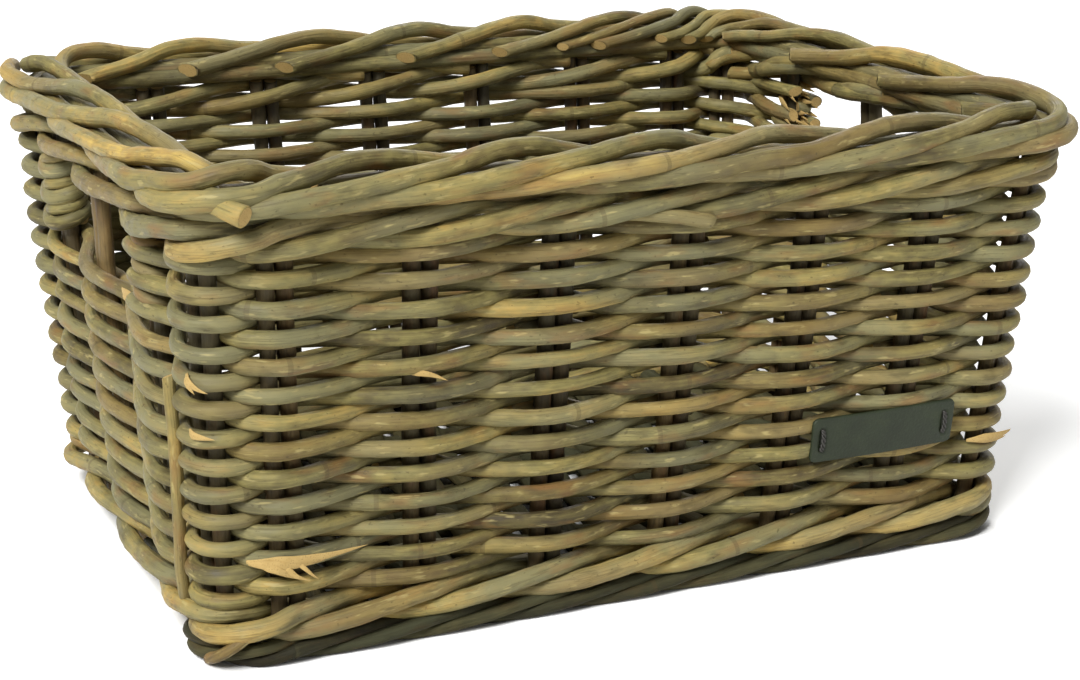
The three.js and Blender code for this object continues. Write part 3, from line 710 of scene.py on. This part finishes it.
def wale_rods(z, half_rise, tints, hold_lift=0.0):
    """Three rounds of one waling route. It passes outside two posts and inside the third: its offset is a
    constant plus two cosines of a three-post period, and its height a sine of that period, so that it
    climbs outside the wall and falls inside it. It is cut into lengths that meet inside the side walls,
    and a bell lifts it over the right hold."""
    rods = []
    for start, end, tint in zip(WALE_CUTS[:-1], WALE_CUTS[1:], tints):
        post = np.arange(start - WALE_NEW_OVERLAP, end + WALE_OLD_OVERLAP, POST_STEP)
        phase = 2 * math.pi * (post - 0.5) / WALE_PERIOD
        thick = WALE_DIAMETER + draw.uniform(-WALE_SCATTER, WALE_SCATTER)
        swing = WALE_OUT + WALE_SWING * np.cos(phase) - WALE_FLATTENING * np.cos(2 * phase)
        out = thick / WALE_DIAMETER * swing
        out = out - WALE_LEAN * smooth_step(end - LEAN_FROM, end + WALE_OLD_OVERLAP, post)
        lift = WALE_LIFT * (1 - smooth_step(start + WALE_SETTLE[0], start + WALE_SETTLE[1], post))
        over_hold = hold_lift * bell(post, HOLD_LIFT_POST, HOLD_LIFT_SPREAD)
        height = z + half_rise * np.sin(phase) + WALE_SAG * settle(post, 0) + lift + over_hold
        rods.append(rod(wall_point(post, out, height), thick, new_seed(), tint))
    return rods


bottom_rods = wale_rods(BOTTOM_WALE_Z, BOTTOM_RISE, BOTTOM_TINTS)
up_z = np.linspace(UP_HEIGHTS[0], UP_HEIGHTS[-1], 60)
up = through(UP_HEIGHTS, UP_PLACES, up_z)
up_path = wall_point(up[:, 0], up[:, 1], up_z)
bottom_rods.append(rod(up_path, diameter=6.2, seed=83, tint=0.44, side_up=(1, 0, 0)))
down_posts = np.linspace(DOWN_POSTS[0], DOWN_POSTS[-1], 40)
bottom_rods.append(loose_rod(down_posts, DOWN_POSTS, DOWN_PLACES, diameter=5.4, seed=84, tint=0.28,
                             side_up=(0, 1, 0)))
rod_piece("bottom_waling", bottom_rods, RATTAN, "wale_rattan", "bottom_wale")
top_rods = wale_rods(TOP_WALE_Z, TOP_RISE, TOP_TINTS, HOLD_LIFT)
loose_posts = np.arange(LOOSE_POSTS[0], LOOSE_POSTS[-1], 0.01)
top_rods.append(loose_rod(loose_posts, LOOSE_POSTS, LOOSE_PLACES, diameter=7.0, seed=77, tint=0.5))
rod_piece("top_waling", top_rods, RATTAN, "wale_rattan", "top_wale")

# Rolled border: out of the frame and height of a stake end, by the number of posts it has gone on
ROLL_POSTS = [-0.9, -0.5, -0.15, 0.2, 0.6, 1.0, 1.4, 1.8, 2.15, 2.5, 2.8, 3.1, 3.5, 3.9]
ROLL_OUT = [-3.0, -0.5, 3.0, 8.6, 13.0, 15.6, 15.4, 12.6, 8.4, 2.8, -2.6, -7.6, -11.6, -14.0]
ROLL_Z = [209.0, 210.6, 212.2, 214.4, 216.0, 218.2, 220.8, 223.4, 226.8, 230.6, 230.0, 225.8, 220.8, 216.6]
# How the stake ends differ: in place, where they end, how thick they are and how their ends are cut
ROLL_SCATTER, ROLL_END_SCATTER, ROLL_STEP = 0.45, 0.25, 0.006
ROLL_THINNER, ROLL_THICKER, ROLL_BUTT_SLANT, ROLL_END_SLANTS = -0.5, 0.6, 0.1, (0.2, 0.55)
# Butts at the back left corner: post, the roll's knot that follows, posts gone on, out and height
LOW_BUTT = (17, 5, [0.05, 0.25, 0.5], [(21, 216.0), (16.5, 216.0), (15, 216.4)])
HIGH_BUTT = (16, 7, [1.06, 1.25, 1.5], [(20.5, 225.4), (17, 224.6), (15.2, 224.2)])
BUTT_TINTS, STRAW_TINTS = (0.72, 0.6, 0.5, 0.45), (0.7, 0.9, 0.88, 0.6, 0.5)
STRAW_ROLL_POST, LEFT_ROLL_POSTS = 1, (15, 16, 17, 18, 19, 20)
LEFT_ROLL_TINT, ROLL_TINT = 0.64, 0.50
# The right side has more and thinner rods: posts and shares of the diameter
SIDE_ROLL_POSTS, SIDE_ROLL_SHARE = (6, 7, 8, 9), 0.85
SIDE_FILL_POSTS, SIDE_FILL_SHARE = (6.5, 7.5, 8.5), 0.72
# Rods inside the roll, and the filler whose cut end points outwards at the front left: out and height
ROLL_CORE = ((6.0, 218.0), (-2.5, 219.6), (-6.0, 214.5))
CORE_WANDER, CORE_TINT, CORE_POSTS = (0.8, (2.3, 4.1)), 0.3, (0.3, POSTS + 0.2)
FILLER_POSTS, FILLER_DIAMETER = (21.25, 21.62), 9.6
FILLER_PLACES = [(3.0, 221.5), (10.0, 220.0), (17.0, 218.2), (24.0, 216.2)]


def roll_rods():
    """The rolled border: each stake end turns along the rim, climbs outside past two posts, goes over the
    top and ends inside. Two of them start at the back left corner instead, with their butts standing out,
    and at the front left the cut end of a short filler rod points outwards."""
    rods = []
    for post in [*range(POSTS), *SIDE_FILL_POSTS]:
        knots, shape = np.array(ROLL_POSTS), np.stack([ROLL_OUT, ROLL_Z], axis=1)
        tint = length_tints(LEFT_ROLL_TINT if post in LEFT_ROLL_POSTS else ROLL_TINT, 3)
        if post == STRAW_ROLL_POST:
            tint = STRAW_TINTS
        for butt_post, follow, butt_knots, butt_shape in (LOW_BUTT, HIGH_BUTT):
            if post == butt_post:
                knots = np.concatenate([butt_knots, knots[follow:]])
                shape = np.concatenate([butt_shape, shape[follow:]])
                tint = BUTT_TINTS
        shape = shape + draw.normal(0, ROLL_SCATTER, shape.shape)
        gone = np.arange(knots[0], knots[-1] - draw.uniform(0, ROLL_END_SCATTER), ROLL_STEP)
        curve = through(knots, shape, gone)
        path = wall_point(post + gone, curve[:, 0], curve[:, 1], RIM_CORNER_RADIUS)
        diameter = RIM_DIAMETER + draw.uniform(ROLL_THINNER, ROLL_THICKER)
        if post in SIDE_FILL_POSTS:
            diameter = SIDE_FILL_SHARE * diameter
        elif post in SIDE_ROLL_POSTS:
            diameter = SIDE_ROLL_SHARE * diameter
        slant = (ROLL_BUTT_SLANT, draw.uniform(*ROLL_END_SLANTS))
        rods.append(rod(path, diameter, new_seed(), tint, slant=slant, skew=-1.0, sides=14))
    for out, z in ROLL_CORE:
        around = np.arange(*CORE_POSTS, 0.02)
        wander = CORE_WANDER[0] * slow_wave(around, draw, CORE_WANDER[1])
        path = wall_point(around, out + wander, z, RIM_CORNER_RADIUS)
        rods.append(rod(path, RIM_DIAMETER, new_seed(), CORE_TINT, step=5.0))
    filler_posts, knots = np.linspace(*FILLER_POSTS, 60), np.linspace(*FILLER_POSTS, len(FILLER_PLACES))
    rods.append(loose_rod(filler_posts, knots, FILLER_PLACES, FILLER_DIAMETER, 31, 0.6, RIM_CORNER_RADIUS,
                          slant=(0, 0.05), taper=0, sides=16, step=1.5))
    return rods


rod_piece("rim_roll", roll_rods(), RATTAN, "border_rattan", "rolled_border")

# Stakes: names by wall, and the pale pair that shows in the left hold
WALL_COUNTS = (("front", 6), ("right", 3), ("back", 6), ("left", 3))
POST_NAMES = [f"{wall}_{k}" for wall, count in WALL_COUNTS for k in [*range(1, count + 1), "corner"]]
LEFT_HOLD_POST, PALE_STAKE_TINT, STAKE_TINT, STAKE_TINT_SCATTER = 19, 0.9, 0.36, 0.16
STAKE_BOW, STAKE_BOW_LENGTH, STAKE_SHAVED = 0.25, 31, 0.2
FOOT_SCATTER, TOP_SCATTER = (-1.5, 1.5), (-2, 1)


def stake_rods(post):
    """Two stakes side by side: nearly straight rods in the frame, a leg's offset either way along the
    wall."""
    rods = []
    for side in (-1, 1):
        z = np.linspace(STAKE_FOOT + draw.uniform(*FOOT_SCATTER), STAKE_TOP + draw.uniform(*TOP_SCATTER), 90)
        tangent = along_wall(post, z)
        bow = STAKE_BOW * np.sin(z / STAKE_BOW_LENGTH + post)
        path = wall_point(post, 0, z) + tangent * (side * LEG_OFFSET + bow)[:, None]
        normal = np.cross(tangent[0], (0, 0, 1))
        pale = post == LEFT_HOLD_POST
        tint = PALE_STAKE_TINT if pale else STAKE_TINT + draw.normal(0, STAKE_TINT_SCATTER)
        seed = new_seed()
        diameter = STAKE_DIAMETER - STAKE_SHAVED
        rods.append(rod(path, diameter, seed, tint, side_up=normal, taper=0.03, step=4.5))
    return rods


for post, post_name in enumerate(POST_NAMES):
    stakes = stake_rods(post)
    rod_piece(f"stakes_{post_name}", stakes, STAKE_RATTAN, "stake_rattan", f"stake_pair_{post_name}")

# Foot ring of three twisted rods round the stakes' feet, with its underside on the ground
FOOT_OFFSET, FOOT_ROD_DIAMETER, TWIST_RADIUS, TWIST_POSTS = 9.0, 6.2, 3.3, 2.2
FOOT_GAP, FOOT_TINT, FOOT_TINT_SCATTER = 0.15, 0.3, 0.12
FOOT_RING_Z = TWIST_RADIUS + FOOT_ROD_DIAMETER / 2 + FOOT_GAP
# Under the left wall it is set in: how far, and the posts where that begins and ends
FOOT_INSET, INSET_BEGINS, INSET_ENDS = 12.0, (16.3, 17.0), (20.2, 20.9)


def foot_rods():
    """Three thin rods twisted round the foot's centre line, which is set in under the left wall: each
    goes round it once in the given number of posts."""
    rods = []
    for strand in range(3):
        post = np.arange(-0.05, POSTS + 0.05, 0.01)
        phase = 2 * math.pi * (post / TWIST_POSTS + strand / 3)
        inset = FOOT_INSET * smooth_step(*INSET_BEGINS, post) * (1 - smooth_step(*INSET_ENDS, post))
        out = FOOT_OFFSET - inset + TWIST_RADIUS * np.cos(phase)
        z = FOOT_RING_Z + TWIST_RADIUS * np.sin(phase)
        seed = new_seed()
        tint = FOOT_TINT + draw.normal(0, FOOT_TINT_SCATTER)
        rods.append(rod(wall_point(post, out, z), FOOT_ROD_DIAMETER, seed, tint, sides=10))
    return rods


# The foot ring's dark base bark holds painted shade as well as soil
rod_piece("foot_ring", foot_rods(), BASE_RATTAN, "base_rattan", "foot_hoop")

# Floor: sticks along the basket and rods woven to and fro across them
STICK_COUNT, STICK_Z, STICK_HALF, STICK_PITCH, STICK_DIAMETER = 5, 10.8, 196.4, 55.2, 5.0
STICK_TINT, STICK_WAVE, STICK_WAVE_LENGTH = 0.42, 0.4, 60
MAT_PASSES, MAT_HALF_X, MAT_DIAMETER, MAT_FLAT, MAT_LENGTHS = 45, 189.4, 7.4, 1.4, 9
MAT_GAP, MAT_MARGIN, MAT_TURN = 0.1, 4, 5.0
MAT_TINT, MAT_TINT_SCATTER, MAT_WAVE, MAT_WAVE_LENGTH = 0.5, 0.13, 0.3, 25


def stick_rod(stick):
    """One stick along the floor, with a slight sideways wave."""
    x = np.linspace(-STICK_HALF, STICK_HALF, 200)
    y = np.full_like(x, (stick - STICK_COUNT // 2) * STICK_PITCH)
    y = y + STICK_WAVE * np.sin(x / STICK_WAVE_LENGTH + stick)
    path = np.stack([x, y, np.full_like(x, STICK_Z)], axis=1)
    return rod(path, STICK_DIAMETER, new_seed(), STICK_TINT, step=4.0, sides=10)


def floor_rods():
    """Rods across the floor, over one stick and under the next: a cosine of the sticks' pitch that
    changes sign from pass to pass, with half a turn round the outer stick between two passes."""
    reach = STICK_DIAMETER / 2 + MAT_DIAMETER / 2 + MAT_GAP
    pitch = 2 * MAT_HALF_X / (MAT_PASSES - 1)
    edge = STICK_COUNT // 2 * STICK_PITCH + MAT_MARGIN
    route = []
    for number in range(MAT_PASSES):
        x = number * pitch - MAT_HALF_X
        way = 1 if number % 2 == 0 else -1
        y = way * np.linspace(-edge, edge, 150)
        z = STICK_Z + way * reach * np.cos(math.pi * y / STICK_PITCH)
        waved_x = np.full_like(y, x) + MAT_WAVE * np.sin(y / MAT_WAVE_LENGTH + number)
        route.append(np.stack([waved_x, y, z], axis=1))
        angle = np.linspace(0, math.pi, 14)[1:-1]
        turn_y = way * (edge + (reach + MAT_TURN) * np.sin(angle))
        turn_z = STICK_Z + way * reach * np.cos(angle)
        route.append(np.stack([x + pitch * angle / math.pi, turn_y, turn_z], axis=1))
    rods = []
    for length in np.array_split(np.arange(MAT_PASSES), MAT_LENGTHS):
        stretch = np.concatenate(route[2 * length[0]:2 * length[-1] + 1])
        tint = MAT_TINT + draw.normal(0, MAT_TINT_SCATTER)
        seed = new_seed()
        rods.append(rod(stretch, MAT_DIAMETER, seed, tint, side_up=(1, 0, 0), flat=MAT_FLAT, sides=8,
                        step=3.5))
    return rods


# The floor's dark base bark holds painted shade as well as soil
for stick in range(STICK_COUNT):
    stick_name, node_name = f"floor_stick_{stick + 1}", f"base_stick_{stick + 1}"
    rod_piece(stick_name, [stick_rod(stick)], BASE_RATTAN, "base_rattan", node_name)
rod_piece("floor_weave", floor_rods(), BASE_RATTAN, "base_rattan", "base_mat")

# Leather label, bowed over the weave, and its two stitches
LABEL_X, LABEL_Z, LABEL_LENGTH, LABEL_HEIGHT = 128.0, 70.0, 82.0, 24.0
LABEL_THICKNESS, LABEL_CORNER, LABEL_STAND = 2.0, 4.0, 11.6
LABEL_BOW, LABEL_CURL, LABEL_EDGE_ROUND = 0.9, 0.5, 0.9
# The label's grid, whose lines crowd towards the edges by these powers
LABEL_COLUMNS, LABEL_ROWS, COLUMN_POWER, ROW_POWER = 96, 34, 0.85, 0.8
STITCH_X, STITCH_HALF, THREAD_DIAMETER, PLY_RADIUS, PLY_TURNS = 35.0, 5.6, 1.3, 0.6, 4
SLOT_HALF_WIDTH, SLOT_PAST_STITCH, SLOT_DEPTH = 1.6, 0.9, 1.3
# A stitch's line: share of its length, then height on the label and distance off it
STITCH_SHARES = (0, 0.14, 0.3, 0.7, 0.86, 1)
STITCH_LINE = [(-STITCH_HALF, -2.0), (-STITCH_HALF, 0.2), (-4.0, 1.2), (4.0, 1.2), (STITCH_HALF, 0.2),
               (STITCH_HALF, -2.0)]
front_lean = math.atan((FRAME_WIDTH_TOP - FRAME_WIDTH_FOOT) / 2 / FRAME_TOP)


def label_place(along, up, off):
    """From the label's own length, height and distance off the wall to the basket: turned by the wall's
    lean, and bowed outwards where it passes a post and inwards at its ends."""
    bow = LABEL_BOW * np.cos(math.pi * along / LABEL_LENGTH) - LABEL_CURL * (2 * up / LABEL_HEIGHT) ** 2
    off = off + bow
    half_width = frame_half_sizes(LABEL_Z)[1]
    y = -(half_width + LABEL_STAND) - off * math.cos(front_lean) - up * math.sin(front_lean)
    z = LABEL_Z + up * math.cos(front_lean) - off * math.sin(front_lean)
    return np.stack(np.broadcast_arrays(LABEL_X + along, y, z), axis=-1)


def grid_quads(grid):
    """Four-cornered faces between the neighbours of a grid of point numbers."""
    return np.stack([grid[:-1, :-1], grid[1:, :-1], grid[1:, 1:], grid[:-1, 1:]], axis=-1).reshape(-1, 4)


def leather_label():
    """A closed leather panel on a grid. Its outline is a rectangle with round corners: each column is
    shortened by the corner's arc. Front and back stand off a middle sheet by half the thickness, less a
    round fall at the edge, and the front sinks in a slot at either end."""
    u, v = np.meshgrid(np.linspace(-1, 1, LABEL_COLUMNS), np.linspace(-1, 1, LABEL_ROWS), indexing="ij")
    along = np.sign(u) * np.abs(u) ** COLUMN_POWER * LABEL_LENGTH / 2
    past = np.clip(np.abs(along) - (LABEL_LENGTH / 2 - LABEL_CORNER), 0, LABEL_CORNER)
    half = LABEL_HEIGHT / 2 - (LABEL_CORNER - np.sqrt(LABEL_CORNER**2 - past**2))
    up = np.sign(v) * np.abs(v) ** ROW_POWER * half
    edge = np.minimum(half - np.abs(up), LABEL_LENGTH / 2 - np.abs(along))
    round_fall = np.sqrt(np.clip(1 - (1 - np.clip(edge / LABEL_EDGE_ROUND, 0, 1)) ** 2, 0, 1))
    across_slot = (np.abs(along) - STITCH_X) / SLOT_HALF_WIDTH
    slots = np.exp(-across_slot ** 4 - (up / (STITCH_HALF + SLOT_PAST_STITCH)) ** 8)
    front = LABEL_THICKNESS / 2 * round_fall - SLOT_DEPTH * slots
    back = -LABEL_THICKNESS / 2 * round_fall
    rim = np.zeros_like(u, bool)
    rim[[0, -1]] = True
    rim[:, [0, -1]] = True
    index = np.arange(u.size).reshape(u.shape)
    back_index = index.copy()
    back_index[~rim] = u.size + np.arange((~rim).sum())
    front_points, back_points = label_place(along, up, front), label_place(along, up, back)
    points = np.concatenate([front_points.reshape(-1, 3), back_points[~rim]])
    faces = np.concatenate([grid_quads(index), grid_quads(back_index)[:, ::-1]])
    mesh = bpy.data.meshes.new("leather_label")
    mesh.from_pydata((points * MM).tolist(), [], faces.tolist())
    mesh.polygons.foreach_set("use_smooth", np.ones(len(faces), bool))
    mesh.update()
    return mesh


def dyed_leather():
    """Dyed saddle leather, dark grey green: a pebbled grain of about a millimetre, rubbed a little paler
    in patches, with a low satin shine."""
    pebble, pore, rubbed_patch = 1.3 * MM, 0.9 * MM, 14 * MM
    material, tree, shader = new_material("dyed_grey_green_leather")
    at = add_node(tree, "ShaderNodeTexCoord").outputs["Object"]
    grain = add_node(tree, "ShaderNodeTexVoronoi", {"feature": "SMOOTH_F1"},
                     {"Vector": at, "Scale": 1 / pebble}).outputs["Distance"]
    fine = add_node(tree, "ShaderNodeTexNoise", None,
                    {"Vector": at, "Scale": 1 / pore, "Detail": 4.0}).outputs[0]
    rub = add_node(tree, "ShaderNodeTexNoise", None,
                   {"Vector": at, "Scale": 1 / rubbed_patch, "Detail": 5.0}).outputs[0]
    tone = add_node(tree, "ShaderNodeMix", {"data_type": "FLOAT"}, {0: 0.35, 2: rub, 3: fine}).outputs[0]
    colour = add_node(tree, "ShaderNodeValToRGB",
                      {"stops": [(0.3, "#141a0a"), (0.52, "#1e2614"), (0.72, "#2b321d")]}, {"Fac": tone})
    height = add_node(tree, "ShaderNodeMath", {"operation": "ADD"}, {0: grain, 1: fine}).outputs[0]
    bump = add_node(tree, "ShaderNodeBump", None,
                    {"Strength": 0.5, "Distance": 0.35 * MM, "Height": height})
    connect(tree, shader, {"Base Color": colour.outputs[0], "Normal": bump.outputs[0], "Roughness": 0.55,
                           "Specular IOR Level": 0.3})
    return material


def waxed_thread():
    """Waxed sewing thread, near black, with flecks of lint half a millimetre wide and a dull shine."""
    lint_size = 0.5 * MM
    material, tree, shader = new_material("waxed_black_thread")
    at = add_node(tree, "ShaderNodeTexCoord").outputs["Object"]
    lint = add_node(tree, "ShaderNodeTexNoise", None, {"Vector": at, "Scale": 1 / lint_size}).outputs[0]
    colour = add_node(tree, "ShaderNodeValToRGB", {"stops": [(0.3, "#15130f"), (0.7, "#2b2822")]},
                      {"Fac": lint})
    connect(tree, shader, {"Base Color": colour.outputs[0], "Roughness": 0.6})
    return material


def stitch_rods(side):
    """One stitch: two plies twisted round a line that comes out of one hole, lies on the leather and goes
    into the other."""
    turn = np.linspace(0, 1, 240)
    line = through(STITCH_SHARES, STITCH_LINE, turn)
    rods = []
    for ply in (0, 1):
        phase = 2 * math.pi * (PLY_TURNS * turn + ply / 2)
        along = side * STITCH_X + PLY_RADIUS * np.cos(phase)
        path = label_place(along, line[:, 0], line[:, 1] + PLY_RADIUS * np.sin(phase))
        rods.append(rod(path, THREAD_DIAMETER, 90 + ply, 0.1, side_up=(1, 0, 0), taper=0, sides=8,
                        step=0.4))
    return rods


label_mesh = leather_label()
label_mesh.materials.append(dyed_leather())
link_piece(label_mesh, "leather_label", "label_leather", "label_panel")
THREAD = waxed_thread()
for side, side_name in ((-1, "left"), (1, "right")):
    stitch_name, tie_name = f"label_stitch_{side_name}", f"label_tie_{side_name}"
    stitch = rod_piece(stitch_name, stitch_rods(side), THREAD, "tie_thread", tie_name)
    stitch.data.materials[1] = THREAD


def background_rays(tree):
    """1 for rays that show the background to the camera or in a surface, and 0 for rays of light."""
    rays = add_node(tree, "ShaderNodeLightPath").outputs
    seen = rays["Is Camera Ray"]
    for kind in ("Is Glossy Ray", "Is Transmission Ray"):
        seen = add_node(tree, "ShaderNodeMath", {"operation": "MAXIMUM"},
                        {0: seen, 1: rays[kind]}).outputs[0]
    return seen


# Ground: half its size, its glow, the foot's half sizes, and where the glow begins as a share of them
GROUND_HALF, GROUND_GLOW, FOOT_HALF, GLOW_START = 9, 0.3, (0.216, 0.150, 1.0), 0.97


def matt_white_paper():
    """A sweep of matt white paper, which keeps the basket's soft shadow. Outside the foot, where the
    larger of the distances from the middle over the foot's half sizes passes 1, it shows whiter than its
    light makes it, as a sweep lit from below does."""
    material, tree, shader = new_material("matt_white_paper")
    at = add_node(tree, "ShaderNodeTexCoord").outputs["Object"]
    away = add_node(tree, "ShaderNodeVectorMath", {"operation": "ABSOLUTE"}, {0: at}).outputs[0]
    away = add_node(tree, "ShaderNodeVectorMath", {"operation": "DIVIDE"},
                    {0: away, 1: FOOT_HALF}).outputs[0]
    away = add_node(tree, "ShaderNodeSeparateXYZ", None, {0: away}).outputs
    away = add_node(tree, "ShaderNodeMath", {"operation": "MAXIMUM"}, {0: away[0], 1: away[1]}).outputs[0]
    glow = add_node(tree, "ShaderNodeMapRange", None,
                    {"Value": away, 1: GLOW_START, 2: 1.0, 3: 0.0, 4: GROUND_GLOW}).outputs[0]
    glow = add_node(tree, "ShaderNodeMath", {"operation": "MULTIPLY"},
                    {0: background_rays(tree), 1: glow}).outputs[0]
    connect(tree, shader, {"Base Color": linear("#fbfbfa"), "Roughness": 0.9, "Specular IOR Level": 0.1,
                           "Emission Color": linear("#ffffff"), "Emission Strength": glow})
    return material


ground_mesh = bpy.data.meshes.new("ground")
ground_corners = [(x * GROUND_HALF, y * GROUND_HALF, 0) for x, y in ((-1, -1), (1, -1), (1, 1), (-1, 1))]
ground_mesh.from_pydata(ground_corners, [], [(0, 1, 2, 3)])
ground_mesh.materials.append(matt_white_paper())
ground = add_object("ground", ground_mesh)

# White surround: white to the eye, and dim as a light
SURROUND_LIGHT, SURROUND_SHOWN = 0.08, 1.0
world = bpy.data.worlds.new("white_surround")
world.use_nodes = True
surround = world.node_tree.nodes["Background"]
strength = add_node(world.node_tree, "ShaderNodeMapRange", None, {
    "Value": background_rays(world.node_tree), 3: SURROUND_LIGHT, 4: SURROUND_SHOWN,
}).outputs[0]
connect(world.node_tree, surround, {"Color": linear("#ffffff"), "Strength": strength})
bpy.context.scene.world = world

# Soft lamps: a key at the front left, weaker ones above, behind on the right and low in front
LAMPS = (
    ("soft_key", (-7.4, -5.7, 9.4), 4.8, 2480.0),
    ("soft_top", (0.3, 3.0, 9.0), 5.0, 130.0),
    ("soft_back", (5.0, 7.5, 6.0), 5.0, 420.0),
    ("soft_fill", (3.0, -8.6, 2.4), 4.0, 60.0),
)
LAMP_TARGET = Vector((0, 0, 0.12))
for lamp_name, place, size, watts in LAMPS:
    lamp = bpy.data.lights.new(lamp_name, "AREA")
    lamp.shape = "SQUARE"
    lamp.size = size
    lamp.energy = watts
    lamp_object = add_object(lamp_name, lamp)
    lamp_object.location = place
    lamp_object.rotation_euler = (LAMP_TARGET - Vector(place)).to_track_quat("-Z", "Y").to_euler()

bpy.context.scene.view_settings.view_transform = "Standard"
bpy.context.view_layer.update()
